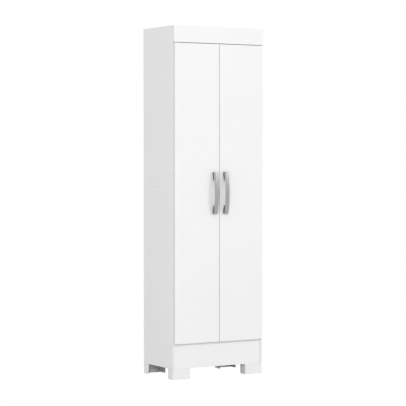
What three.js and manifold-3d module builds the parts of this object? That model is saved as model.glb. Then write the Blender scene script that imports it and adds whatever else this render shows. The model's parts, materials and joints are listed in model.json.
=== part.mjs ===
// Two-door pantry cabinet in thin white laminated board, on four hollow plastic feet.
// Millimetres, +Z up. The doors face -Y and +X is on the right of a person facing them.
// The origin is on the floor, below the middle of the whole object's box.
import * as THREE from 'three';
import { mergeVertices } from 'three/addons/utils/BufferGeometryUtils.js';
import Module from 'manifold-3d';

const wasm = await Module();
wasm.setup();

// ---------------------------------------------------------------- driving dimensions
const HEIGHT = 1810;
const WIDTH = 540;
const BODY_DEPTH = 330; // door front to the back face
const HANDLE_REACH = 30; // how far a handle stands out of its door
const BOARD = 12; // every laminated board
const BACK_SHEET = 3; // hardboard
const FOOT_HEIGHT = 54;

// Plan positions below are written from the left outer face (X) and the door fronts (Y).
const MID_X = WIDTH / 2;
const MID_Y = (BODY_DEPTH - HANDLE_REACH) / 2;

// ---------------------------------------------------------------- carcass
const CARCASS_FRONT = 14; // door thickness and a 2 mm gap
const PROFILE_WALL = 1; // wall of the strip that joins the two back sheets
const SHEET_FRONT = BODY_DEPTH - PROFILE_WALL - BACK_SHEET;
const INNER_LEFT = BOARD;
const INNER_RIGHT = WIDTH - BOARD;
const TOP_PANEL_BASE = 1716;
const BOTTOM_PANEL_BASE = 185;
const PLINTH_RECESS = 6;
const FASCIA_BASE = 1725.5;
const FASCIA_END_INSET = 1;
const FIXED_SHELF_BASE = 983;
const FIXED_SHELF_FRONT = 40;
const SHEET_EDGE_INSET = 2;
const PROFILE_HEIGHT = 14;

// ---------------------------------------------------------------- loose shelves and pins
const LOOSE_SHELF_BASES = [584, 1350];
const LOOSE_SHELF_REAR = 322;
const LOOSE_SHELF_PLAY = 1; // at each end
const PIN_DEPTHS = [80, 284]; // from the door fronts
const PIN_RADIUS = 2.5;
const PIN_HOLE_RADIUS = 2.8;
const PIN_IN_BOARD = 8;
const PIN_HOLE_DEPTH = 8.5;
const PIN_TAB = { length: 9, width: 11, height: 5 };

// ---------------------------------------------------------------- doors
const DOOR_BASE = 183;
const DOOR_TOP = 1722;
const DOOR_INSET = 6; // outer edge of a door from the outer face of the cabinet
const DOOR_GAP = 3; // between the two doors
const DOOR_WIDTH = (WIDTH - 2 * DOOR_INSET - DOOR_GAP) / 2;

// ---------------------------------------------------------------- handles
const HANDLE = {
  fromMiddle: 32, // centre line from the cabinet's middle
  height: 955, // centre above the floor
  length: 216,
  endWidth: 21,
  midWidth: 24,
  endReach: 18,
  bowEnd: 92, // where the bow meets the flat end facet, from the handle's centre
  bowEndReach: 22.7,
  padLength: 14, // flat part that sits on the door
  postEnd: 64.5, // inner end of each end post, from the handle's centre
  postLift: 11, // how far a post's back has left the door there
  filletAt: 62.5, // corner between post and strap, before it is rounded
  strapStart: 56.5, // where the thin strap begins, from the handle's centre
  strapThickness: 4.5,
};
const SCREW = { spacing: 192, radius: 2, holeRadius: 2.3, headRadius: 4, headHeight: 2.4, inHandle: 11 };

// ---------------------------------------------------------------- feet
const FOOT = { length: 102, depth: 51, bottomDepth: 49, wall: 3, edgeInset: 1, frontInset: 1 };

// ---------------------------------------------------------------- concealed hinges
const HINGE_HEIGHTS = { lower: 290, middle: 935, upper: 1615 };
const CUP = {
  fromEdge: 21.5, // centre from the door's outer edge
  boreRadius: 17.5,
  boreDepth: 9.5,
  radius: 17.2,
  wall: 1,
  rimRadius: 19.5,
  rimHeight: 0.8,
  flangeHalfHeight: 27,
  flangeHalfWidth: 8,
  flangeHole: 2,
  flangeHoleHeight: 23,
};
// The arm's pin is measured from the outer face of the cabinet (X) and the door fronts (Y).
const ARM_PIN = new THREE.Vector2(17, 18);
const ARM = {
  halfHeight: 8,
  cheek: 1.7,
  cheekRadius: 3,
  pinRadius: 1.2,
  bodyFront: 24,
  bodyRear: 70,
  bodyThickness: 4.5,
  plateFront: 34,
  plateRear: 64,
  plateThickness: 2.5,
  plateHalfHeight: 22,
};
const LINK = {
  barrelRadius: 2.6,
  holeRadius: 1.6,
  halfHeight: 5.8,
  thickness: 1.8,
  reach: 20, // pin centre to the middle of the dipping end
  dip: 12, // pin centre to the tip, into the cup
};

// ---------------------------------------------------------------- modelling choices
const OVERRUN = 1; // how far a cutting tool runs past the face it cuts through
const SEAT = 1; // how deep two shapes of one piece run into each other
const CURVE_STEPS = 16; // along each curve of a handle
const SIDES_OF = { hole: 16, knuckle: 20, cup: 40 }; // flat sides that stand for a round

// ---------------------------------------------------------------- materials
const laminate = standardMaterial(0xf3f3f2, 0.45, 0);
const hardboard = standardMaterial(0xefeeec, 0.6, 0);
const satinMetal = standardMaterial(0xb0b0b0, 0.35, 0.8);
const whitePlastic = standardMaterial(0xe9e9e8, 0.5, 0);
const platedSteel = standardMaterial(0xc9c9c6, 0.3, 0.9);

function standardMaterial(color, roughness, metalness) {
  return new THREE.MeshStandardMaterial({ color, roughness, metalness });
}

// ---------------------------------------------------------------- solid helpers
const cabinet = new THREE.Group();

function addMesh(name, geometry, material) {
  const mesh = new THREE.Mesh(geometry, material);
  mesh.name = name;
  mesh.position.set(-MID_X, -MID_Y, 0);
  cabinet.add(mesh);
  return mesh;
}

// A box from its lowest to its highest corner.
function boxGeometry(x0, x1, y0, y1, z0, z1) {
  const geometry = new THREE.BoxGeometry(x1 - x0, y1 - y0, z1 - z0);
  geometry.translate((x0 + x1) / 2, (y0 + y1) / 2, (z0 + z1) / 2);
  return geometry;
}

// A cylinder along X, Y or Z, from one end to the other.
function cylinderGeometry(axis, radius, centre, from, to, segments) {
  const geometry = new THREE.CylinderGeometry(radius, radius, to - from, segments);
  const middle = (from + to) / 2;
  if (axis === 'x') {
    geometry.rotateZ(Math.PI / 2);
    geometry.translate(middle, centre[0], centre[1]);
  } else if (axis === 'y') {
    geometry.translate(centre[0], middle, centre[1]);
  } else {
    geometry.rotateX(Math.PI / 2);
    geometry.translate(centre[0], centre[1], middle);
  }
  return geometry;
}

// An outline in the X-Y plane raised from one height to another.
function raisedGeometry(shape, z0, z1) {
  const options = { depth: z1 - z0, bevelEnabled: false, curveSegments: CURVE_STEPS };
  const geometry = new THREE.ExtrudeGeometry(shape, options);
  geometry.translate(0, 0, z0);
  return geometry;
}

// Turns an outline's own axes onto the cabinet's: the third axis follows from the first two.
function turned(geometry, firstAxis, secondAxis) {
  const thirdAxis = new THREE.Vector3().crossVectors(firstAxis, secondAxis);
  return geometry.applyMatrix4(new THREE.Matrix4().makeBasis(firstAxis, secondAxis, thirdAxis));
}

function toSolid(geometry) {
  const bare = geometry.clone();
  bare.deleteAttribute('normal');
  bare.deleteAttribute('uv');
  const welded = mergeVertices(bare, 1e-4);
  return new wasm.Manifold(new wasm.Mesh({
    numProp: 3,
    vertProperties: new Float32Array(welded.attributes.position.array),
    triVerts: new Uint32Array(welded.index.array),
  }));
}

function toGeometry(solid) {
  const mesh = solid.getMesh();
  const geometry = new THREE.BufferGeometry();
  geometry.setAttribute('position', new THREE.BufferAttribute(new Float32Array(mesh.vertProperties), 3));
  geometry.setIndex(new THREE.BufferAttribute(new Uint32Array(mesh.triVerts), 1));
  geometry.computeVertexNormals();
  return geometry;
}

function joined(geometries) {
  const [first, ...rest] = geometries.map(toSolid);
  return rest.reduce((sum, solid) => sum.add(solid), first);
}

function cutFrom(solid, geometries) {
  return geometries.map(toSolid).reduce((rest, tool) => rest.subtract(tool), solid);
}

// Turns a distance from the left outer face into one from the right outer face.
function fromSide(side, x) {
  return side === 'left' ? x : WIDTH - x;
}

// Both ends of a span measured from one outer face, the lower one first.
function sideSpan(side, x0, x1) {
  return side === 'left' ? [x0, x1] : [WIDTH - x1, WIDTH - x0];
}

function sideBox(side, x0, x1, y0, y1, z0, z1) {
  return boxGeometry(...sideSpan(side, x0, x1), y0, y1, z0, z1);
}

// ---------------------------------------------------------------- carcass boards
function pinHoles(side) {
  const holes = [];
  for (const base of LOOSE_SHELF_BASES) {
    for (const depth of PIN_DEPTHS) {
      const span = sideSpan(side, BOARD - PIN_HOLE_DEPTH, BOARD + OVERRUN);
      const centre = [depth, base - PIN_TAB.height / 2];
      holes.push(cylinderGeometry('x', PIN_HOLE_RADIUS, centre, ...span, SIDES_OF.hole));
    }
  }
  return holes;
}

function addSidePanel(side) {
  const board = joined([sideBox(side, 0, BOARD, CARCASS_FRONT, SHEET_FRONT, FOOT_HEIGHT, HEIGHT)]);
  addMesh(`side_panel_${side}`, toGeometry(cutFrom(board, pinHoles(side))), laminate);
}

function addBoards() {
  const between = [INNER_LEFT, INNER_RIGHT];
  for (const [name, base] of Object.entries({ top_panel: TOP_PANEL_BASE, bottom_panel: BOTTOM_PANEL_BASE })) {
    addMesh(name, boxGeometry(...between, CARCASS_FRONT, SHEET_FRONT, base, base + BOARD), laminate);
  }
  const fascia = boxGeometry(
    FASCIA_END_INSET,
    WIDTH - FASCIA_END_INSET,
    CARCASS_FRONT - BOARD,
    CARCASS_FRONT,
    FASCIA_BASE,
    HEIGHT,
  );
  addMesh('fascia_board', fascia, laminate);
  const plinthFront = CARCASS_FRONT + PLINTH_RECESS;
  const plinth = boxGeometry(...between, plinthFront, plinthFront + BOARD, FOOT_HEIGHT, BOTTOM_PANEL_BASE);
  addMesh('plinth_rail_front', plinth, laminate);
  const rearRail = boxGeometry(...between, SHEET_FRONT - BOARD, SHEET_FRONT, FOOT_HEIGHT, BOTTOM_PANEL_BASE);
  addMesh('plinth_rail_rear', rearRail, laminate);
}

// ---------------------------------------------------------------- shelves
function addFixedShelf() {
  const rear = SHEET_FRONT - PROFILE_WALL;
  const top = FIXED_SHELF_BASE + BOARD;
  const shelf = boxGeometry(INNER_LEFT, INNER_RIGHT, FIXED_SHELF_FRONT, rear, FIXED_SHELF_BASE, top);
  addMesh('shelf_fixed', shelf, laminate);
}

function addLooseShelf(name, base) {
  const left = INNER_LEFT + LOOSE_SHELF_PLAY;
  const right = INNER_RIGHT - LOOSE_SHELF_PLAY;
  const shelf = boxGeometry(left, right, FIXED_SHELF_FRONT, LOOSE_SHELF_REAR, base, base + BOARD);
  addMesh(`shelf_${name}`, shelf, laminate);
}

// A peg in the side panel with a flat tab that the shelf lies on.
function addShelfPin(name, side, depth, base) {
  const centreZ = base - PIN_TAB.height / 2;
  const span = sideSpan(side, BOARD - PIN_IN_BOARD, BOARD + SEAT);
  const peg = cylinderGeometry('x', PIN_RADIUS, [depth, centreZ], ...span, SIDES_OF.hole);
  const halfWidth = PIN_TAB.width / 2;
  const tabEnd = BOARD + PIN_TAB.length;
  const tab = sideBox(side, BOARD, tabEnd, depth - halfWidth, depth + halfWidth, base - PIN_TAB.height, base);
  addMesh(name, toGeometry(joined([peg, tab])), whitePlastic);
}

function addLooseShelves() {
  const names = ['lower', 'upper'];
  LOOSE_SHELF_BASES.forEach((base, index) => {
    addLooseShelf(names[index], base);
    for (const side of ['left', 'right']) {
      addShelfPin(`shelf_pin_${names[index]}_${side}_front`, side, PIN_DEPTHS[0], base);
      addShelfPin(`shelf_pin_${names[index]}_${side}_rear`, side, PIN_DEPTHS[1], base);
    }
  });
}

// ---------------------------------------------------------------- hardboard back
function addBack() {
  const left = SHEET_EDGE_INSET;
  const right = WIDTH - SHEET_EDGE_INSET;
  const rear = SHEET_FRONT + BACK_SHEET;
  const jointHeight = FIXED_SHELF_BASE + BOARD / 2;
  const halfWeb = PROFILE_WALL / 2;
  const lower = boxGeometry(left, right, SHEET_FRONT, rear, FOOT_HEIGHT + BOARD, jointHeight - halfWeb);
  addMesh('back_sheet_lower', lower, hardboard);
  const upper = boxGeometry(left, right, SHEET_FRONT, rear, jointHeight + halfWeb, HEIGHT - BACK_SHEET);
  addMesh('back_sheet_upper', upper, hardboard);
  const low = jointHeight - PROFILE_HEIGHT / 2;
  const high = jointHeight + PROFILE_HEIGHT / 2;
  const strip = joined([
    boxGeometry(left, right, SHEET_FRONT, rear, jointHeight - halfWeb, jointHeight + halfWeb),
    boxGeometry(left, right, rear, BODY_DEPTH, low, high),
    boxGeometry(INNER_LEFT, INNER_RIGHT, SHEET_FRONT - PROFILE_WALL, SHEET_FRONT, low, high),
  ]);
  addMesh('back_joint_strip', toGeometry(strip), whitePlastic);
}

// ---------------------------------------------------------------- doors
function screwHeights() {
  return [HANDLE.height - SCREW.spacing / 2, HANDLE.height + SCREW.spacing / 2];
}

function addDoor(side) {
  const board = joined([sideBox(side, DOOR_INSET, DOOR_INSET + DOOR_WIDTH, 0, BOARD, DOOR_BASE, DOOR_TOP)]);
  const cupX = fromSide(side, DOOR_INSET + CUP.fromEdge);
  const bore = [BOARD - CUP.boreDepth, BOARD + OVERRUN];
  const cuts = Object.values(HINGE_HEIGHTS).map((height) =>
    cylinderGeometry('y', CUP.boreRadius, [cupX, height], ...bore, SIDES_OF.cup));
  const handleX = fromSide(side, MID_X - HANDLE.fromMiddle);
  for (const height of screwHeights()) {
    const span = [-OVERRUN, BOARD + OVERRUN];
    cuts.push(cylinderGeometry('y', SCREW.holeRadius, [handleX, height], ...span, SIDES_OF.hole));
  }
  addMesh(`door_${side}`, toGeometry(cutFrom(board, cuts)), laminate);
}

// ---------------------------------------------------------------- handles
// Side outline of a bow handle: u runs along it from its centre, v out of the door.
// Each end post touches the door at its outer end only, then its back slowly leaves the door.
function handleProfile() {
  const half = HANDLE.length / 2;
  const padEnd = half - HANDLE.padLength;
  const rise = HANDLE_REACH - HANDLE.bowEndReach;
  const frontAtStrap = HANDLE.bowEndReach + rise * (1 - (HANDLE.strapStart / HANDLE.bowEnd) ** 2);
  const strapBack = frontAtStrap - HANDLE.strapThickness;
  const strapMiddleBack = HANDLE_REACH - HANDLE.strapThickness;
  const shape = new THREE.Shape();
  shape.moveTo(-half, 0);
  shape.lineTo(-half, HANDLE.endReach);
  shape.lineTo(-HANDLE.bowEnd, HANDLE.bowEndReach);
  shape.quadraticCurveTo(0, HANDLE.bowEndReach + 2 * rise, HANDLE.bowEnd, HANDLE.bowEndReach);
  shape.lineTo(half, HANDLE.endReach);
  shape.lineTo(half, 0);
  shape.lineTo(padEnd, 0);
  shape.lineTo(HANDLE.postEnd, HANDLE.postLift);
  shape.quadraticCurveTo(HANDLE.filletAt, strapBack, HANDLE.strapStart, strapBack);
  shape.quadraticCurveTo(0, 2 * strapMiddleBack - strapBack, -HANDLE.strapStart, strapBack);
  shape.quadraticCurveTo(-HANDLE.filletAt, strapBack, -HANDLE.postEnd, HANDLE.postLift);
  shape.lineTo(-padEnd, 0);
  shape.closePath();
  return shape;
}

// Front outline of a bow handle: slightly wider at its middle.
function handleFace() {
  const half = HANDLE.length / 2 + OVERRUN;
  const bulge = HANDLE.midWidth - HANDLE.endWidth / 2;
  const shape = new THREE.Shape();
  shape.moveTo(-half, -HANDLE.endWidth / 2);
  shape.quadraticCurveTo(0, -bulge, half, -HANDLE.endWidth / 2);
  shape.lineTo(half, HANDLE.endWidth / 2);
  shape.quadraticCurveTo(0, bulge, -half, HANDLE.endWidth / 2);
  shape.closePath();
  return shape;
}

function addHandle(side) {
  const up = new THREE.Vector3(0, 0, 1);
  const outOfDoor = new THREE.Vector3(0, -1, 0);
  const across = new THREE.Vector3(1, 0, 0);
  const profile = raisedGeometry(handleProfile(), -HANDLE.midWidth, HANDLE.midWidth);
  const face = raisedGeometry(handleFace(), -2 * HANDLE_REACH, 2 * HANDLE_REACH);
  const bow = toSolid(turned(profile, up, outOfDoor)).intersect(toSolid(turned(face, up, across)));
  const holes = [-SCREW.spacing / 2, SCREW.spacing / 2].map((z) =>
    cylinderGeometry('y', SCREW.holeRadius, [0, z], -SCREW.inHandle - OVERRUN, OVERRUN, SIDES_OF.hole));
  const geometry = toGeometry(cutFrom(bow, holes));
  geometry.translate(fromSide(side, MID_X - HANDLE.fromMiddle), 0, HANDLE.height);
  addMesh(`handle_${side}`, geometry, satinMetal);
}

// A screw through the door from inside, with its head on the door's inner face.
function addHandleScrews(side) {
  const x = fromSide(side, MID_X - HANDLE.fromMiddle);
  screwHeights().forEach((height, index) => {
    const centre = [x, height];
    const shank = cylinderGeometry('y', SCREW.radius, centre, -SCREW.inHandle, BOARD + SEAT, SIDES_OF.hole);
    const headTop = BOARD + SCREW.headHeight;
    const head = cylinderGeometry('y', SCREW.headRadius, centre, BOARD, headTop, SIDES_OF.knuckle);
    const name = `handle_screw_${side}_${index === 0 ? 'lower' : 'upper'}`;
    addMesh(name, toGeometry(joined([shank, head])), platedSteel);
  });
}

// ---------------------------------------------------------------- feet
// Side outline of a foot, from its long wall to its open side: the open edges lean.
function footSideOutline() {
  const shape = new THREE.Shape();
  shape.moveTo(0, 0);
  shape.lineTo(FOOT.bottomDepth, 0);
  shape.lineTo(FOOT.depth, FOOT_HEIGHT);
  shape.lineTo(0, FOOT_HEIGHT);
  shape.closePath();
  return shape;
}

// A hollow foot: one long wall along the cabinet's front or back, an end wall at each end of it
// and a top plate, open below and towards the middle of the cabinet.
function addFoot(end, side) {
  const isFront = end === 'front';
  const inward = new THREE.Vector3(0, isFront ? 1 : -1, 0);
  const up = new THREE.Vector3(0, 0, 1);
  const outer = turned(raisedGeometry(footSideOutline(), 0, FOOT.length), inward, up);
  if (!isFront) {
    outer.translate(FOOT.length, 0, 0); // the rear outline is raised towards -X
  }
  const hollowDepth = FOOT.depth + OVERRUN;
  const hollow = boxGeometry(
    FOOT.wall,
    FOOT.length - FOOT.wall,
    isFront ? FOOT.wall : -hollowDepth,
    isFront ? hollowDepth : -FOOT.wall,
    -OVERRUN,
    FOOT_HEIGHT - FOOT.wall,
  );
  const geometry = toGeometry(toSolid(outer).subtract(toSolid(hollow)));
  const x = side === 'left' ? FOOT.edgeInset : WIDTH - FOOT.edgeInset - FOOT.length;
  const y = isFront ? CARCASS_FRONT + FOOT.frontInset : SHEET_FRONT - FOOT.frontInset;
  geometry.translate(x, y, 0);
  addMesh(`foot_${end}_${side}`, geometry, whitePlastic);
}

// ---------------------------------------------------------------- concealed hinges
function addHingeCup(side, level, height) {
  const x = fromSide(side, DOOR_INSET + CUP.fromEdge);
  const bottom = BOARD - CUP.radius + CUP.boreRadius - CUP.boreDepth;
  const top = BOARD + CUP.rimHeight;
  const centre = [x, height];
  const body = cylinderGeometry('y', CUP.radius, centre, bottom, BOARD, SIDES_OF.cup);
  const rim = cylinderGeometry('y', CUP.rimRadius, centre, BOARD, top, SIDES_OF.cup);
  const flange = boxGeometry(
    x - CUP.flangeHalfWidth,
    x + CUP.flangeHalfWidth,
    BOARD,
    top,
    height - CUP.flangeHalfHeight,
    height + CUP.flangeHalfHeight,
  );
  const inside = [bottom + CUP.wall, top + OVERRUN];
  const cuts = [cylinderGeometry('y', CUP.radius - CUP.wall, centre, ...inside, SIDES_OF.cup)];
  for (const offset of [-CUP.flangeHoleHeight, CUP.flangeHoleHeight]) {
    const span = [BOARD - OVERRUN, top + OVERRUN];
    cuts.push(cylinderGeometry('y', CUP.flangeHole, [x, height + offset], ...span, SIDES_OF.hole));
  }
  addMesh(`hinge_cup_${side}_${level}`, toGeometry(cutFrom(joined([body, rim, flange]), cuts)), platedSteel);
}

function addHingeArm(side, level, height) {
  const plate = sideBox(
    side,
    BOARD,
    BOARD + ARM.plateThickness,
    ARM.plateFront,
    ARM.plateRear,
    height - ARM.plateHalfHeight,
    height + ARM.plateHalfHeight,
  );
  const bodyInner = ARM_PIN.x - ARM.bodyThickness / 2;
  const bodyOuter = ARM_PIN.x + ARM.bodyThickness / 2;
  const low = height - ARM.halfHeight;
  const high = height + ARM.halfHeight;
  const body = sideBox(side, bodyInner, bodyOuter, ARM.bodyFront, ARM.bodyRear, low, high);
  const spacer = sideBox(side, BOARD, bodyInner + SEAT, ARM.plateFront, ARM.plateRear, low, high);
  const pinCentre = [fromSide(side, ARM_PIN.x), ARM_PIN.y];
  const parts = [plate, spacer, body];
  for (const cheekLow of [low, high - ARM.cheek]) {
    const span = [cheekLow, cheekLow + ARM.cheek];
    parts.push(cylinderGeometry('z', ARM.cheekRadius, pinCentre, ...span, SIDES_OF.knuckle));
    parts.push(sideBox(side, bodyInner, bodyOuter, ARM_PIN.y, ARM.bodyFront + SEAT, ...span));
  }
  parts.push(cylinderGeometry('z', ARM.pinRadius, pinCentre, low, high, SIDES_OF.hole));
  addMesh(`hinge_arm_${side}_${level}`, toGeometry(joined(parts)), platedSteel);
}

// A bent strip: an eye on the arm's pin, a straight run behind the door and an end in the cup.
function addHingeLink(side, level, height) {
  const low = height - LINK.halfHeight;
  const high = height + LINK.halfHeight;
  const centre = [fromSide(side, ARM_PIN.x), ARM_PIN.y];
  const half = LINK.thickness / 2;
  const tipX = ARM_PIN.x + LINK.reach;
  const run = sideBox(side, ARM_PIN.x, tipX + half, ARM_PIN.y - half, ARM_PIN.y + half, low, high);
  const dip = sideBox(side, tipX - half, tipX + half, ARM_PIN.y - LINK.dip, ARM_PIN.y + half, low, high);
  const eye = cylinderGeometry('z', LINK.barrelRadius, centre, low, high, SIDES_OF.knuckle);
  const hole = cylinderGeometry('z', LINK.holeRadius, centre, low - OVERRUN, high + OVERRUN, SIDES_OF.hole);
  addMesh(`hinge_link_${side}_${level}`, toGeometry(cutFrom(joined([run, dip, eye]), [hole])), platedSteel);
}

// ---------------------------------------------------------------- assembly
addBoards();
addFixedShelf();
addLooseShelves();
addBack();
for (const side of ['left', 'right']) {
  addSidePanel(side);
  addDoor(side);
  addHandle(side);
  addHandleScrews(side);
  addFoot('front', side);
  addFoot('rear', side);
  for (const [level, height] of Object.entries(HINGE_HEIGHTS)) {
    addHingeCup(side, level, height);
    addHingeArm(side, level, height);
    addHingeLink(side, level, height);
  }
}

export default cabinet;
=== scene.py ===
"""Looks of the two-door pantry cabinet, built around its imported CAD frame. Metres, +Z up."""

import json
import math

import bmesh
import bpy
from mathutils import Matrix, Vector

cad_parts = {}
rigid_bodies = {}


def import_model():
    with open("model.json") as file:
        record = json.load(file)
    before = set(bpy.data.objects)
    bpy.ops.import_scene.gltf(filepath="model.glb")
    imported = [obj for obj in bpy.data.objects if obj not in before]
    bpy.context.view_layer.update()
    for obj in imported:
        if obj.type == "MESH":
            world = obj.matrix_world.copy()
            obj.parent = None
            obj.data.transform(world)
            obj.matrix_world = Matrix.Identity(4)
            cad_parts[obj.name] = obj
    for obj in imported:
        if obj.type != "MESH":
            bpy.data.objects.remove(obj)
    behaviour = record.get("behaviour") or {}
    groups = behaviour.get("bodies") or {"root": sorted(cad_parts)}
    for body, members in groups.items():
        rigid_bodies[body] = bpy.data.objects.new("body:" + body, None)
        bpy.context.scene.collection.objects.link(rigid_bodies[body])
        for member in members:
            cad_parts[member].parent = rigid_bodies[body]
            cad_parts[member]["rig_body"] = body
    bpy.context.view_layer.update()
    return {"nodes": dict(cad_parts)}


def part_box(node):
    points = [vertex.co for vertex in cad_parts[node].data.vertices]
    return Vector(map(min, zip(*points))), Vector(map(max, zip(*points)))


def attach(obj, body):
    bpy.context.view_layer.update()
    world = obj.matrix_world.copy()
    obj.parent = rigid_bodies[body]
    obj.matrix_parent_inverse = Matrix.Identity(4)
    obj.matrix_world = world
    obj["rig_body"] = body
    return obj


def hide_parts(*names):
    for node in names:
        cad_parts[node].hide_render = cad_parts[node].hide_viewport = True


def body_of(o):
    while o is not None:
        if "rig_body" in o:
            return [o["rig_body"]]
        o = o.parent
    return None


MM = 0.001
SIDES = {"left": -1, "right": 1}
HINGE_LEVELS = ("lower", "middle", "upper")

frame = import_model()


# ---------------------------------------------------------------- materials
class Shader:
    """A procedural material under construction: its node tree with short calls for the nodes used here."""

    def __init__(self, name, color, roughness, metallic=0.0):
        self.material = bpy.data.materials.new(name)
        self.material.use_nodes = True
        self.tree = self.material.node_tree
        self.bsdf = self.tree.nodes["Principled BSDF"]
        self.bsdf.inputs["Base Color"].default_value = (*color, 1)
        self.bsdf.inputs["Roughness"].default_value = roughness
        self.bsdf.inputs["Metallic"].default_value = metallic
        self.material.diffuse_color = (*color, 1)

    def add(self, kind, **settings):
        node = self.tree.nodes.new(kind)
        for key, value in settings.items():
            setattr(node, key, value)
        return node

    def link(self, source, target):
        self.tree.links.new(source, target)

    def place(self, stretch=(1, 1, 1)):
        """Object coordinates, which stay with the piece when it moves, stretched by axis."""
        coordinates = self.add("ShaderNodeTexCoord")
        mapping = self.add("ShaderNodeMapping")
        mapping.inputs["Scale"].default_value = stretch
        self.link(coordinates.outputs["Object"], mapping.inputs["Vector"])
        return mapping.outputs["Vector"]

    def noise(self, scale, detail=2, stretch=(1, 1, 1)):
        node = self.add("ShaderNodeTexNoise")
        node.inputs["Scale"].default_value = scale
        node.inputs["Detail"].default_value = detail
        self.link(self.place(stretch), node.inputs["Vector"])
        return node.outputs["Fac"]

    def ramp(self, value, stops):
        """A colour ramp over (position, colour) stops."""
        node = self.add("ShaderNodeValToRGB")
        elements = node.color_ramp.elements
        while len(elements) < len(stops):
            elements.new(0.5)
        for element, (position, color) in zip(elements, stops):
            element.position = position
            element.color = (*color, 1)
        self.link(value, node.inputs["Fac"])
        return node.outputs["Color"]

    def spread(self, value, low, high):
        """A 0 to 1 value turned into low to high."""
        node = self.add("ShaderNodeMapRange")
        node.inputs["To Min"].default_value = low
        node.inputs["To Max"].default_value = high
        self.link(value, node.inputs["Value"])
        return node.outputs["Result"]

    def color(self, source):
        self.link(source, self.bsdf.inputs["Base Color"])

    def roughness(self, source):
        self.link(source, self.bsdf.inputs["Roughness"])

    def bump(self, *layers):
        """Bump layers of (height source, strength, distance), each on top of the one before."""
        normal = None
        for height, strength, distance in layers:
            node = self.add("ShaderNodeBump")
            node.inputs["Strength"].default_value = strength
            node.inputs["Distance"].default_value = distance
            self.link(height, node.inputs["Height"])
            if normal:
                self.link(normal, node.inputs["Normal"])
            normal = node.outputs["Normal"]
        self.link(normal, self.bsdf.inputs["Normal"])


def grey(value, warmth=0.0):
    return (value + warmth, value, value - warmth)


def laminate_material():
    """White melamine: a faint pearl texture, a very low swell, uneven gloss and a barely uneven white."""
    shader = Shader("white_melamine", grey(0.85), 0.55)
    shader.bsdf.inputs["Specular IOR Level"].default_value = 0.3
    tone = shader.noise(3.0, 3)
    shader.color(shader.ramp(tone, [(0.3, grey(0.842)), (0.7, grey(0.856))]))
    shader.roughness(shader.spread(shader.noise(55, 3), 0.5, 0.6))
    pearl = shader.noise(1400, 2)
    swell = shader.noise(14, 1)
    shader.bump((swell, 0.04, 0.0006), (pearl, 0.22, 0.00006))
    return shader.material


def edge_band_material():
    """Thin plastic strip glued on the boards' edges: a little greyer, with faint lengthwise lines."""
    shader = Shader("white_edge_band", grey(0.79), 0.45)
    lines = shader.noise(900, 2, (1, 1, 0.02))
    shader.color(shader.ramp(lines, [(0.25, grey(0.775)), (0.75, grey(0.8))]))
    shader.roughness(shader.spread(shader.noise(120, 2), 0.4, 0.5))
    shader.bump((lines, 0.18, 0.00005))
    return shader.material


def chipboard_material():
    """Raw particle board where a bore or a hidden edge shows its core."""
    shader = Shader("raw_chipboard", (0.5, 0.38, 0.25), 0.85)
    cells = shader.add("ShaderNodeTexVoronoi")
    cells.inputs["Scale"].default_value = 520
    shader.link(shader.place(), cells.inputs["Vector"])
    fibre = shader.noise(900, 4)
    tones = [(0.0, (0.62, 0.48, 0.31)), (0.5, (0.5, 0.37, 0.23)), (1.0, (0.3, 0.21, 0.13))]
    shader.color(shader.ramp(cells.outputs["Distance"], tones))
    shader.bump((fibre, 0.6, 0.0002))
    return shader.material


def hardboard_face_material():
    """White painted inner face of the hardboard, flatter and a little greyer than the melamine."""
    shader = Shader("hardboard_white_face", grey(0.8), 0.6)
    mottle = shader.noise(220, 4)
    shader.color(shader.ramp(mottle, [(0.3, grey(0.79)), (0.7, grey(0.81))]))
    shader.bump((shader.noise(2200, 3), 0.25, 0.00006))
    return shader.material


def hardboard_rear_material():
    """Raw brown rear face of the hardboard, with short wood fibres pressed flat."""
    shader = Shader("hardboard_brown_rear", (0.4, 0.27, 0.16), 0.72)
    fibres = shader.noise(420, 5, (1, 1, 0.35))
    blotch = shader.noise(9, 3)
    mix = shader.add("ShaderNodeMix", data_type="RGBA", blend_type="MULTIPLY")
    mix.inputs["Factor"].default_value = 1.0
    browns = [(0.25, (0.33, 0.22, 0.13)), (0.6, (0.45, 0.31, 0.19)), (0.8, (0.54, 0.4, 0.26))]
    fibre_tone = shader.ramp(fibres, browns)
    blotch_tone = shader.ramp(blotch, [(0.3, grey(0.9)), (0.7, grey(1.0))])
    shader.link(fibre_tone, mix.inputs["A"])
    shader.link(blotch_tone, mix.inputs["B"])
    shader.color(mix.outputs["Result"])
    shader.bump((fibres, 0.35, 0.00015))
    return shader.material


def satin_silver_material():
    """Satin silver of the handle's strap, with faint lines along its length."""
    shader = Shader("satin_silver", grey(0.41), 0.32, 0.5)
    lines = shader.noise(2600, 3, (1, 1, 0.03))
    shader.color(shader.ramp(lines, [(0.3, grey(0.395)), (0.7, grey(0.425))]))
    shader.roughness(shader.spread(lines, 0.28, 0.36))
    shader.bump((lines, 0.15, 0.00003))
    return shader.material


def handle_post_shade_material():
    """Painted shade: a dark grey on the handle's end posts, standing in for the shade that falls on their
    sides.
    """
    shader = Shader("handle_post_painted_shade", grey(0.13), 0.5)
    skin = shader.noise(1800, 2)
    shader.color(shader.ramp(skin, [(0.3, grey(0.12)), (0.7, grey(0.14))]))
    shader.bump((skin, 0.2, 0.00004))
    return shader.material


def plastic_material(name, value, roughness):
    """White moulded plastic with a fine spark-eroded skin."""
    shader = Shader(name, grey(value), roughness)
    skin = shader.noise(1800, 2)
    shader.color(shader.ramp(shader.noise(30, 2), [(0.3, grey(value - 0.012)), (0.7, grey(value + 0.008))]))
    shader.roughness(shader.spread(skin, roughness - 0.05, roughness + 0.06))
    shader.bump((skin, 0.25, 0.00005))
    return shader.material


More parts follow.
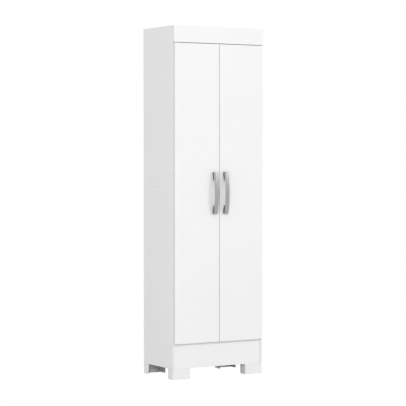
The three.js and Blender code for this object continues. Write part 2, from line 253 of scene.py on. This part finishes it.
def plated_steel_material():
    """Nickel-plated pressed steel, with rolling lines and faint handling marks in its gloss."""
    shader = Shader("nickel_plate", grey(0.66, 0.008), 0.26, 1.0)
    rolled = shader.noise(1500, 3, (1, 0.06, 1))
    shader.color(shader.ramp(rolled, [(0.3, grey(0.61, 0.008)), (0.7, grey(0.7, 0.008))]))
    shader.roughness(shader.spread(shader.noise(160, 4), 0.24, 0.3))
    shader.bump((rolled, 0.12, 0.00003))
    return shader.material


LAMINATE = laminate_material()
EDGE_BAND = edge_band_material()
CHIPBOARD = chipboard_material()
HARDBOARD_FACE = hardboard_face_material()
HARDBOARD_REAR = hardboard_rear_material()
SATIN = satin_silver_material()
# Painted shade for the handle's end posts: a dark grey in place of the shade on their sides.
HANDLE_POST_SHADE = handle_post_shade_material()
FOOT_PLASTIC = plastic_material("foot_plastic", 0.825, 0.42)
TRIM_PLASTIC = plastic_material("trim_plastic", 0.82, 0.5)
CAP_PLASTIC = plastic_material("cap_plastic", 0.755, 0.5)
NICKEL = plated_steel_material()


# ---------------------------------------------------------------- mesh helpers
SHADED_SHARP = math.radians(50)  # edges sharper than this show as edges
ROUNDED_FROM = math.radians(30)  # edges sharper than this are rounded
FLAT_WITHIN = math.radians(1)  # neighbours closer than this are one flat face
WELD_DISTANCE = 0.005 * MM
BEVEL_SEGMENTS = 2

# How far the edges of each small part are rounded, and the shortest edge that is.
ROUNDING = {
    "profile": (0.3 * MM, 4 * MM),
    "peg": (0.4 * MM, 3 * MM),
    "shell": (1.1 * MM, 1.5 * MM),
    "dish": (0.25 * MM, 1.2 * MM),
    "bracket": (0.4 * MM, 1.2 * MM),
    "strap": (0.35 * MM, 1.2 * MM),
}


def keep_flat_faces_flat(piece):
    """Weights normals by area, so that only the narrow rounded edges shade as round."""
    modifier = piece.modifiers.new("flat_faces", "WEIGHTED_NORMAL")
    modifier.mode = "FACE_AREA"
    modifier.keep_sharp = True


def add_piece(name, bm, materials, body, replaced=()):
    """Turns a bmesh into a piece that rides on a body and may stand for CAD nodes."""
    mesh = bpy.data.meshes.new(name)
    bm.to_mesh(mesh)
    bm.free()
    for material in materials:
        mesh.materials.append(material)
    mesh.shade_smooth()
    mesh.set_sharp_from_angle(angle=SHADED_SHARP)
    piece = bpy.data.objects.new(name, mesh)
    keep_flat_faces_flat(piece)
    bpy.context.scene.collection.objects.link(piece)
    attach(piece, body)
    if replaced:
        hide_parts(*replaced)


def lerp(a, b, t):
    return a + (b - a) * t


def turned_to(direction, at):
    """The matrix that takes +Z to direction and the origin to a point."""
    turn = Vector((0, 0, 1)).rotation_difference(Vector(direction))
    return Matrix.Translation(at) @ turn.to_matrix().to_4x4()


def add_ring(bm, radius, height, count, matrix):
    """Corners in a circle round +Z, placed by a matrix."""
    ring = []
    for i in range(count):
        angle = 2 * math.pi * i / count
        corner = Vector((radius * math.cos(angle), radius * math.sin(angle), height))
        ring.append(bm.verts.new(matrix @ corner))
    return ring


def bridge(bm, near, far):
    """Faces between two rings of equally many corners."""
    count = len(near)
    for i in range(count):
        j = (i + 1) % count
        bm.faces.new((near[i], near[j], far[j], far[i]))


def lathe(bm, profile, segments, matrix):
    """Turns (radius, height) points round +Z into a closed skin; the first and last radius are 0."""
    rings = []
    for radius, height in profile:
        if radius == 0:
            rings.append([bm.verts.new(matrix @ Vector((0, 0, height)))])
        else:
            rings.append(add_ring(bm, radius, height, segments, matrix))
    for a, b in zip(rings, rings[1:]):
        for i in range(segments):
            j = (i + 1) % segments
            quad = [a[i % len(a)], a[j % len(a)], b[j % len(b)], b[i % len(b)]]
            bm.faces.new(list(dict.fromkeys(quad)))


def node_bmesh(node):
    """A CAD node's shape with its doubled corners merged and its flat faces whole."""
    bm = bmesh.new()
    bm.from_mesh(frame["nodes"][node].data)
    bmesh.ops.remove_doubles(bm, verts=bm.verts, dist=WELD_DISTANCE)
    bmesh.ops.dissolve_limit(bm, angle_limit=FLAT_WITHIN, verts=bm.verts, edges=bm.edges)
    return bm


def round_edges(bm, edges, width, segments=BEVEL_SEGMENTS, clamp=False):
    """Rounds edges; clamp keeps the roundings of close edges from crossing."""
    bmesh.ops.bevel(
        bm,
        geom=edges,
        offset=width,
        offset_type="OFFSET",
        segments=segments,
        profile=0.5,
        affect="EDGES",
        clamp_overlap=clamp,
    )


def soften(bm, width, shortest):
    """Rounds every sharp edge that is longer than shortest."""
    sharp = []
    for edge in bm.edges:
        if edge.is_manifold and edge.calc_face_angle() > ROUNDED_FROM and edge.calc_length() > shortest:
            sharp.append(edge)
    round_edges(bm, sharp, width, clamp=True)


def body_of_node(node):
    return body_of(frame["nodes"][node])[0]


def restyle(node, kind, material):
    """A finer copy of a small CAD part with rounded edges, standing for it."""
    bm = node_bmesh(node)
    soften(bm, *ROUNDING[kind])
    add_piece(f"{node}_{kind}", bm, [material], body_of_node(node), [node])


# ---------------------------------------------------------------- boards
BOARD_ROUNDING = 0.7 * MM
SHORTEST_ROUNDED = 6 * MM  # the short edges round a bore stay sharp
BAND_MARGIN = 2 * MM  # faces this near to a board's outline are its edge
ON_SURFACE = 0.01 * MM
FACING_DOWN = -0.9
FACE, BAND, CORE = range(3)  # places of a board's materials


def add_board(node, face_axis, raw_below=False):
    """A laminated board: melamine faces, edge band round the sides, raw core inside its bores."""
    low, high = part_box(node)
    bm = node_bmesh(node)
    soften(bm, BOARD_ROUNDING, SHORTEST_ROUNDED)
    in_plane = [axis for axis in range(3) if axis != face_axis]
    for face in bm.faces:
        centre = face.calc_center_median()
        depth = min(centre[face_axis] - low[face_axis], high[face_axis] - centre[face_axis])
        if all(low[a] + BAND_MARGIN < centre[a] < high[a] - BAND_MARGIN for a in in_plane):
            face.material_index = FACE if depth < ON_SURFACE else CORE
        else:
            face.material_index = CORE if raw_below and face.normal.z < FACING_DOWN else BAND
    materials = [LAMINATE, EDGE_BAND, CHIPBOARD]
    add_piece(f"{node}_board", bm, materials, body_of_node(node), [node])


def add_boards():
    for side in SIDES:
        add_board(f"side_panel_{side}", 0, raw_below=True)
        add_board(f"door_{side}", 1)
    for node in ("top_panel", "bottom_panel", "shelf_fixed", "shelf_lower", "shelf_upper"):
        add_board(node, 2)
    add_board("fascia_board", 1)
    for node in ("plinth_rail_front", "plinth_rail_rear"):
        add_board(node, 1, raw_below=True)


add_boards()


# ---------------------------------------------------------------- back
SHEET_ROUNDING = 0.3 * MM
FACING_REAR = 0.5
PAINTED, BROWN = range(2)  # places of a back sheet's materials


def add_back_sheet(node):
    bm = node_bmesh(node)
    soften(bm, SHEET_ROUNDING, SHORTEST_ROUNDED)
    for face in bm.faces:
        face.material_index = BROWN if face.normal.y > FACING_REAR else PAINTED
    materials = [HARDBOARD_FACE, HARDBOARD_REAR]
    add_piece(f"{node}_hardboard", bm, materials, "carcass", [node])


for back_node in ("back_sheet_lower", "back_sheet_upper"):
    add_back_sheet(back_node)
restyle("back_joint_strip", "profile", TRIM_PLASTIC)

NAIL_SPACING = 130 * MM
NAIL_RADIUS = 1.4 * MM
NAIL_HEIGHT = 0.35 * MM
NAIL_SINK = 0.1 * MM  # how far a nail head reaches into the sheet
NAIL_FROM_EDGE = 4 * MM
NAIL_FROM_END = 20 * MM
NAIL_SEGMENTS = 12


def evenly(start, end, spacing):
    """Points from start to end, both included, no further apart than spacing."""
    count = max(math.ceil((end - start) / spacing), 1)
    return [start + (end - start) * i / count for i in range(count + 1)]


def add_back_nails(node, level_z):
    """Nails through a back sheet into both side boards and into one board across, at level_z."""
    low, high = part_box(node)
    left, right = low.x + NAIL_FROM_EDGE, high.x - NAIL_FROM_EDGE
    heights = evenly(low.z + NAIL_FROM_END, high.z - NAIL_FROM_END, NAIL_SPACING)
    spots = [(x, z) for x in (left, right) for z in heights]
    spots += [(x, level_z) for x in evenly(left + NAIL_SPACING, right - NAIL_SPACING, NAIL_SPACING)]
    rim = 0.6 * NAIL_HEIGHT
    profile = [(0, -NAIL_SINK), (NAIL_RADIUS, -NAIL_SINK), (NAIL_RADIUS, rim), (0, NAIL_HEIGHT)]
    bm = bmesh.new()
    for x, z in spots:
        lathe(bm, profile, NAIL_SEGMENTS, turned_to((0, 1, 0), (x, high.y, z)))
    bmesh.ops.recalc_face_normals(bm, faces=bm.faces)
    add_piece(f"{node}_nails", bm, [NICKEL], "carcass")


def middle_height(node):
    low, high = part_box(node)
    return (low.z + high.z) / 2


add_back_nails("back_sheet_lower", middle_height("bottom_panel"))
add_back_nails("back_sheet_upper", middle_height("top_panel"))


# ---------------------------------------------------------------- handles
STRAP_STATIONS = 72
STRAP_RING = 36
STRAP_SHARPNESS = 4.5  # how square the strap's cross-section is
STRAP_CROWN = 1.5 * MM
STRAP_THICKNESS = 4.5 * MM
END_HALF_WIDTH = 10.5 * MM
END_REACH = 18 * MM
BOW_END = 92 * MM  # where the bow meets the flat end facet, from the handle's centre
BOW_END_REACH = 22.7 * MM
POST_LENGTH = 43.5 * MM
PAD_LENGTH = 14 * MM
POST_LIFT = 11 * MM
POST_SIDE_INSET = 0.6 * MM
POST_ROUNDING = 0.7 * MM
STRAP_END_ROUNDING = 0.8 * MM
STRAP_END_SEGMENTS = 3
# The posts' material is painted shade, a dark grey standing in for the shade on their sides.
POST_SHADE_MATERIAL = 1  # place of the posts' material, after the strap's


def strap_front(distance, size):
    """How far the strap's front stands off the door, at a distance from the handle's centre."""
    if distance > BOW_END:
        return lerp(BOW_END_REACH, END_REACH, (distance - BOW_END) / (size.z / 2 - BOW_END))
    return lerp(BOW_END_REACH, size.y, 1 - (distance / BOW_END) ** 2)


def strap_half_width(distance, size):
    return lerp(END_HALF_WIDTH, size.x / 2, 1 - (2 * distance / size.z) ** 2)


def strap_section(half_width, back, front):
    """One closed cross-section as (across, out) points: crowned front, rounded edges, flatter back."""
    points = []
    for i in range(STRAP_RING):
        angle = 2 * math.pi * i / STRAP_RING
        across = math.copysign(abs(math.cos(angle)) ** (2 / STRAP_SHARPNESS), math.cos(angle))
        out = math.copysign(abs(math.sin(angle)) ** (2 / STRAP_SHARPNESS), math.sin(angle))
        level = lerp(back, front - STRAP_CROWN, 0.5 + 0.5 * out)
        crown = STRAP_CROWN * (1 - across * across) * max(out, 0)
        points.append((half_width * across, level + crown))
    return points


def skin_rings(bm, rings):
    """Joins rings of equally many corners, one after another, and closes both ends."""
    for near, far in zip(rings, rings[1:]):
        bridge(bm, near, far)
    bm.faces.new(rings[0])
    bm.faces.new(rings[-1])


def add_strap(bm, centre, door_face, size):
    """The bowed strap: closer sections towards its ends, whose edges are rounded."""
    rings = []
    for station in range(STRAP_STATIONS + 1):
        along = -math.cos(math.pi * station / STRAP_STATIONS) * size.z / 2
        front = strap_front(abs(along), size)
        half_width = strap_half_width(abs(along), size)
        section = strap_section(half_width, front - STRAP_THICKNESS, front)
        z = centre.z + along
        rings.append([bm.verts.new((centre.x + across, door_face - out, z)) for across, out in section])
    skin_rings(bm, rings)
    ends = []
    for edge in bm.edges:
        if all(abs(abs(v.co.z - centre.z) - size.z / 2) < ON_SURFACE for v in edge.verts):
            ends.append(edge)
    round_edges(bm, ends, STRAP_END_ROUNDING, STRAP_END_SEGMENTS)


def add_post(bm, centre, door_face, size, end):
    """A post under one end of the strap: it meets the door at its outer end, then lifts off it."""
    half = size.z / 2
    pad = half - PAD_LENGTH
    inner = half - POST_LENGTH
    rings = []
    for distance in (half - POST_SIDE_INSET, BOW_END, (pad + inner) / 2, inner):
        lift = POST_LIFT * max(pad - distance, 0) / (pad - inner)
        top = strap_front(distance, size) - STRAP_THICKNESS + POST_SIDE_INSET
        half_width = strap_half_width(distance, size) - POST_SIDE_INSET
        corners = [(-half_width, lift), (half_width, lift), (half_width, top), (-half_width, top)]
        z = centre.z + end * distance
        rings.append([bm.verts.new((centre.x + across, door_face - out, z)) for across, out in corners])
    before = set(bm.edges)
    skin_rings(bm, rings)
    fresh = [edge for edge in bm.edges if edge not in before]
    # The post's faces get the painted shade, a dark grey for the shade on their sides.
    for edge in fresh:
        for face in edge.link_faces:
            face.material_index = POST_SHADE_MATERIAL
    return fresh


def add_handle(side):
    node = f"handle_{side}"
    low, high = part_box(node)
    size = high - low
    centre = (low + high) / 2
    bm = bmesh.new()
    add_strap(bm, centre, high.y, size)
    for end in (-1, 1):
        post_edges = add_post(bm, centre, high.y, size, end)
        bmesh.ops.recalc_face_normals(bm, faces=bm.faces)
        sharp = [edge for edge in post_edges if edge.is_valid and edge.calc_face_angle() > ROUNDED_FROM]
        round_edges(bm, sharp, POST_ROUNDING)
    bmesh.ops.recalc_face_normals(bm, faces=bm.faces)
    # The strap is satin silver; the posts carry painted shade, a dark grey for the shade on their sides.
    add_piece(f"{node}_bow", bm, [SATIN, HANDLE_POST_SHADE], f"door_{side}", [node])


for side in SIDES:
    add_handle(side)


# ---------------------------------------------------------------- screws and caps
SCREW_SEGMENTS = 24
PAN_HEAD = [(1, 0), (1, 0.45), (0.9, 0.8), (0.72, 1)]  # shares of radius and height, seat to top
RECESS_ARM = 0.16  # half the width of the recess's arms, as a share of the head's radius
RECESS_REACH = 0.55
RECESS_DEPTH = 0.55  # share of the head's height
RECESS_TAPER = 0.8  # size of the recess's floor against its rim


def cross_outline(arm, reach):
    """Corners of a plus sign: those of one arm, turned by a quarter three times."""
    corners = []
    arm_corners = [(arm, reach), (-arm, reach), (-arm, arm)]
    for _ in range(4):
        corners += arm_corners
        arm_corners = [(-y, x) for x, y in arm_corners]
    return corners


def add_screw_head(bm, at, direction, radius, height):
    """A pan head with a cross recess cut into it."""
    matrix = turned_to(direction, at)
    rings = [add_ring(bm, radius * r, height * h, SCREW_SEGMENTS, matrix) for r, h in PAN_HEAD]
    for near, far in zip(rings, rings[1:]):
        bridge(bm, near, far)
    bm.faces.new(list(reversed(rings[0])))
    outline = cross_outline(RECESS_ARM * radius, RECESS_REACH * radius)
    rim = [bm.verts.new(matrix @ Vector((x, y, height))) for x, y in outline]
    floor = []
    for x, y in outline:
        corner = Vector((RECESS_TAPER * x, RECESS_TAPER * y, height - RECESS_DEPTH * height))
        floor.append(bm.verts.new(matrix @ corner))
    edges = []
    for loop in (rings[-1], rim):
        for i, vert in enumerate(loop):
            other = loop[(i + 1) % len(loop)]
            edges.append(bm.edges.get((vert, other)) or bm.edges.new((vert, other)))
    bmesh.ops.triangle_fill(bm, use_beauty=True, use_dissolve=False, edges=edges)
    bridge(bm, rim, floor)
    bm.faces.new(floor)


def add_screws(name, body, places, radius, height):
    """Several screw heads of one kind as one piece. places holds (point, direction)."""
    bm = bmesh.new()
    for at, direction in places:
        add_screw_head(bm, at, direction, radius, height)
    bmesh.ops.recalc_face_normals(bm, faces=bm.faces)
    add_piece(name, bm, [NICKEL], body)


CAP_RADIUS = 6.5 * MM
CAP_HEIGHT = 0.7 * MM
CAP_SINK = 0.2 * MM  # how far a cover reaches into the board
CAP_DOME = [(1, 0.35), (0.94, 0.62), (0.78, 0.84), (0.45, 0.97), (0, 1)]  # shares of radius and height
CAP_SEGMENTS = 36
CAP_FROM_FRONT = 59 * MM
CAP_FROM_REAR = 48.5 * MM
MIDDLE_CAPS_FROM_FRONT = (153 * MM, 195 * MM)


def add_cap(name, at, direction):
    profile = [(0, -CAP_SINK), (CAP_RADIUS, -CAP_SINK)]
    profile += [(CAP_RADIUS * across, CAP_HEIGHT * up) for across, up in CAP_DOME]
    bm = bmesh.new()
    lathe(bm, profile, CAP_SEGMENTS, turned_to(direction, at))
    bmesh.ops.recalc_face_normals(bm, faces=bm.faces)
    add_piece(name, bm, [CAP_PLASTIC], "carcass")


def add_caps():
    """Round covers over the screws that hold the top, bottom and fixed middle boards."""
    boards = {"top": "top_panel", "bottom": "bottom_panel", "middle": "shelf_fixed"}
    for side, sign in SIDES.items():
        low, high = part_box(f"side_panel_{side}")
        x = low.x if sign < 0 else high.x
        for word, node in boards.items():
            z = middle_height(node)
            depths = (low.y + CAP_FROM_FRONT, high.y - CAP_FROM_REAR)
            if word == "middle":
                depths = [low.y + depth for depth in MIDDLE_CAPS_FROM_FRONT]
            for place, y in zip(("front", "rear"), depths):
                add_cap(f"cover_cap_{side}_{word}_{place}", (x, y, z), (sign, 0, 0))


add_caps()


HANDLE_SCREW_HEAD_RADIUS = 4 * MM
HANDLE_SCREW_SHANK_RADIUS = 1.9 * MM
HANDLE_SCREW_POINT = 1 * MM  # length of the tapered end
SHANK_SEGMENTS = 16


def add_handle_screw(side, level):
    """A screw from the door's inner face, where its head is, into the handle."""
    node = f"handle_screw_{side}_{level}"
    low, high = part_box(node)
    inner_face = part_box(f"door_{side}")[1].y
    seat = ((low.x + high.x) / 2, inner_face, (low.z + high.z) / 2)
    radius = HANDLE_SCREW_SHANK_RADIUS
    length = inner_face - low.y
    shank = [(0, 0), (radius, 0), (radius, length - HANDLE_SCREW_POINT), (0, length)]
    bm = bmesh.new()
    add_screw_head(bm, seat, (0, 1, 0), HANDLE_SCREW_HEAD_RADIUS, high.y - inner_face)
    lathe(bm, shank, SHANK_SEGMENTS, turned_to((0, -1, 0), seat))
    bmesh.ops.recalc_face_normals(bm, faces=bm.faces)
    add_piece(f"{node}_screw", bm, [NICKEL], f"door_{side}", [node])


for side in SIDES:
    for level in ("lower", "upper"):
        add_handle_screw(side, level)


# ---------------------------------------------------------------- shelf pins
for pin_node in [name for name in frame["nodes"] if name.startswith("shelf_pin_")]:
    restyle(pin_node, "peg", TRIM_PLASTIC)


# ---------------------------------------------------------------- feet
FOOT_WALL = 3 * MM
FOOT_BOSS_FROM_WALL = 24 * MM
FOOT_BOSS_SHARES = (0.37, 0.63)  # along the foot's length
# Outline of a screw boss as (radius, depth below the top plate), with a recess for the screw's head.
FOOT_BOSS = [
    (0, 0),
    (6 * MM, 0),
    (5.6 * MM, 5 * MM),
    (4.2 * MM, 5 * MM),
    (4.2 * MM, 1.5 * MM),
    (0, 1.5 * MM),
]
FOOT_BOSS_SEGMENTS = 28
FOOT_SCREW_HEAD = (3.6 * MM, 1.8 * MM)  # radius and height


def add_foot(end, side):
    """A foot's shell, and under its top plate two bosses with the screws into the board above."""
    node = f"foot_{end}_{side}"
    restyle(node, "shell", FOOT_PLASTIC)
    low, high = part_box(node)
    wall_y = low.y + FOOT_WALL if end == "front" else high.y - FOOT_WALL
    inward = 1 if end == "front" else -1
    ceiling = high.z - FOOT_WALL
    boss_y = wall_y + inward * FOOT_BOSS_FROM_WALL
    down = (0, 0, -1)
    bm = bmesh.new()
    screws = []
    for share in FOOT_BOSS_SHARES:
        x = lerp(low.x, high.x, share)
        lathe(bm, FOOT_BOSS, FOOT_BOSS_SEGMENTS, turned_to(down, (x, boss_y, ceiling)))
        screws.append(((x, boss_y, ceiling - FOOT_BOSS[-1][1]), down))
    bmesh.ops.recalc_face_normals(bm, faces=bm.faces)
    add_piece(f"{node}_bosses", bm, [FOOT_PLASTIC], "carcass")
    add_screws(f"{node}_screws", "carcass", screws, *FOOT_SCREW_HEAD)


for side in SIDES:
    add_foot("front", side)
    add_foot("rear", side)


# ---------------------------------------------------------------- hinges
# Screw heads as (radius, height).
CUP_SCREW_HEAD = (3.4 * MM, 1.5 * MM)
PLATE_SCREW_HEAD = (3.6 * MM, 1.6 * MM)
SET_SCREW_HEAD = (3.2 * MM, 1.2 * MM)
CUP_SCREW_SINK = 0.2 * MM  # how far the cup's screws are sunk in its flange
CUP_SCREW_OFFSETS = (-23 * MM, 23 * MM)  # above and below the hinge's middle
PLATE_SCREW_OFFSETS = (-16 * MM, 16 * MM)
PLATE_SCREW_FROM_REAR = 21 * MM  # from the arm's rear end
SET_SCREWS_FROM_REAR = (12 * MM, 32 * MM)
PLATE_FACE = 2.5 * MM  # from the side panel
ARM_FACE = 7.25 * MM  # from the side panel


def add_cup_screws(cup, side):
    low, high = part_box(cup)
    x = (low.x + high.x) / 2
    y = high.y - CUP_SCREW_SINK
    z = (low.z + high.z) / 2
    places = [((x, y, z + offset), (0, 1, 0)) for offset in CUP_SCREW_OFFSETS]
    add_screws(f"{cup}_screws", f"door_{side}", places, *CUP_SCREW_HEAD)


def add_arm_screws(arm, side):
    """The screws of the mounting plate and the two set screws in the arm."""
    low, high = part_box(arm)
    inward = -SIDES[side]
    wall = low.x if inward > 0 else high.x
    direction = (inward, 0, 0)
    z = (low.z + high.z) / 2
    x = wall + inward * PLATE_FACE
    y = high.y - PLATE_SCREW_FROM_REAR
    plate = [((x, y, z + offset), direction) for offset in PLATE_SCREW_OFFSETS]
    add_screws(f"{arm}_plate_screws", "carcass", plate, *PLATE_SCREW_HEAD)
    x = wall + inward * ARM_FACE
    adjusters = [((x, high.y - back, z), direction) for back in SET_SCREWS_FROM_REAR]
    add_screws(f"{arm}_set_screws", "carcass", adjusters, *SET_SCREW_HEAD)


def add_hinge(side, level):
    cup = f"hinge_cup_{side}_{level}"
    arm = f"hinge_arm_{side}_{level}"
    restyle(cup, "dish", NICKEL)
    restyle(arm, "bracket", NICKEL)
    restyle(f"hinge_link_{side}_{level}", "strap", NICKEL)
    add_cup_screws(cup, side)
    add_arm_screws(arm, side)


for side in SIDES:
    for level in HINGE_LEVELS:
        add_hinge(side, level)


# ---------------------------------------------------------------- studio
WORLD_STRENGTH = 0.7
BACKDROP_HALF = 40
BACKDROP_GLOW = 1.02
BOUNCE_HALF = 12
BOUNCE_DROP = 0.5 * MM
BOUNCE_WHITE = 0.8
SHARED_RAYS = ("visible_diffuse", "visible_glossy", "visible_transmission", "visible_shadow")
# Each light: where it stands, how wide it is and its power.
LIGHTS = {
    "key": ((8.9, -11.0, 6.2), 3.0, 320),
    "fill": ((-6.78, -9.83, 4.6), 4.0, 480),
}
LIGHT_TARGET = Vector((0, -0.15, 0.95))

CAMERA_PLACE = (-4.3603, -7.4166, 1.1506)
CAMERA_TILT = 1.678  # degrees below level
CAMERA_TURN = -30.39  # degrees about the vertical, from facing +Y
CAMERA_LENS = 145.3
CAMERA_SENSOR = 36
CAMERA_REACH = 200


def flat_material(name, value, emission=0.0):
    """A matt stage material without texture, which the object never shows."""
    shader = Shader(name, grey(value), 1.0)
    shader.bsdf.inputs["Emission Color"].default_value = (*grey(1.0), 1)
    shader.bsdf.inputs["Emission Strength"].default_value = emission
    shader.bsdf.inputs["Specular IOR Level"].default_value = 0
    return shader.material


def add_stage(name, bm, material, seen_by_camera):
    """Part of the studio: either what the camera sees or what the light sees, never both."""
    mesh = bpy.data.meshes.new(name)
    bm.to_mesh(mesh)
    bm.free()
    mesh.materials.append(material)
    stage = bpy.data.objects.new(name, mesh)
    bpy.context.scene.collection.objects.link(stage)
    stage.visible_camera = seen_by_camera
    for flag in SHARED_RAYS:
        setattr(stage, flag, not seen_by_camera)


def add_backdrop():
    """A plain white room with its floor under the feet, evenly bright, as in a cut-out product picture."""
    bm = bmesh.new()
    centre = Vector((0, 0, BACKDROP_HALF))
    bmesh.ops.create_cube(bm, size=2 * BACKDROP_HALF, matrix=Matrix.Translation(centre))
    bmesh.ops.reverse_faces(bm, faces=bm.faces)
    add_stage("backdrop", bm, flat_material("backdrop_white", 0.0, BACKDROP_GLOW), True)


def add_bounce_floor():
    """A matt floor that throws light back up and takes the cabinet's shadow."""
    bm = bmesh.new()
    down = Matrix.Translation((0, 0, -BOUNCE_DROP))
    bmesh.ops.create_grid(bm, x_segments=1, y_segments=1, size=BOUNCE_HALF, matrix=down)
    add_stage("bounce_floor", bm, flat_material("bounce_floor_matt", BOUNCE_WHITE), False)


def add_area_light(name, location, size, power):
    data = bpy.data.lights.new(name, "AREA")
    data.size = size
    data.energy = power
    light = bpy.data.objects.new(name, data)
    light.location = location
    light.rotation_euler = (LIGHT_TARGET - Vector(location)).to_track_quat("-Z", "Y").to_euler()
    bpy.context.scene.collection.objects.link(light)


def add_studio():
    world = bpy.data.worlds.new("white_room")
    world.use_nodes = True
    background = world.node_tree.nodes["Background"]
    background.inputs["Color"].default_value = (1, 1, 1, 1)
    background.inputs["Strength"].default_value = WORLD_STRENGTH
    bpy.context.scene.world = world
    add_backdrop()
    add_bounce_floor()
    for name, (location, size, power) in LIGHTS.items():
        add_area_light(name, location, size, power)


def add_camera():
    """A long-lens camera left of the front, at chest height, tilted down a little to centre the cabinet."""
    data = bpy.data.cameras.new("camera")
    data.sensor_width = CAMERA_SENSOR
    data.lens = CAMERA_LENS
    data.clip_end = CAMERA_REACH
    camera = bpy.data.objects.new("camera", data)
    camera.location = CAMERA_PLACE
    camera.rotation_euler = (math.radians(90 - CAMERA_TILT), 0, math.radians(CAMERA_TURN))
    bpy.context.scene.collection.objects.link(camera)
    bpy.context.scene.camera = camera


add_studio()
add_camera()
bpy.context.scene.view_settings.view_transform = "Standard"
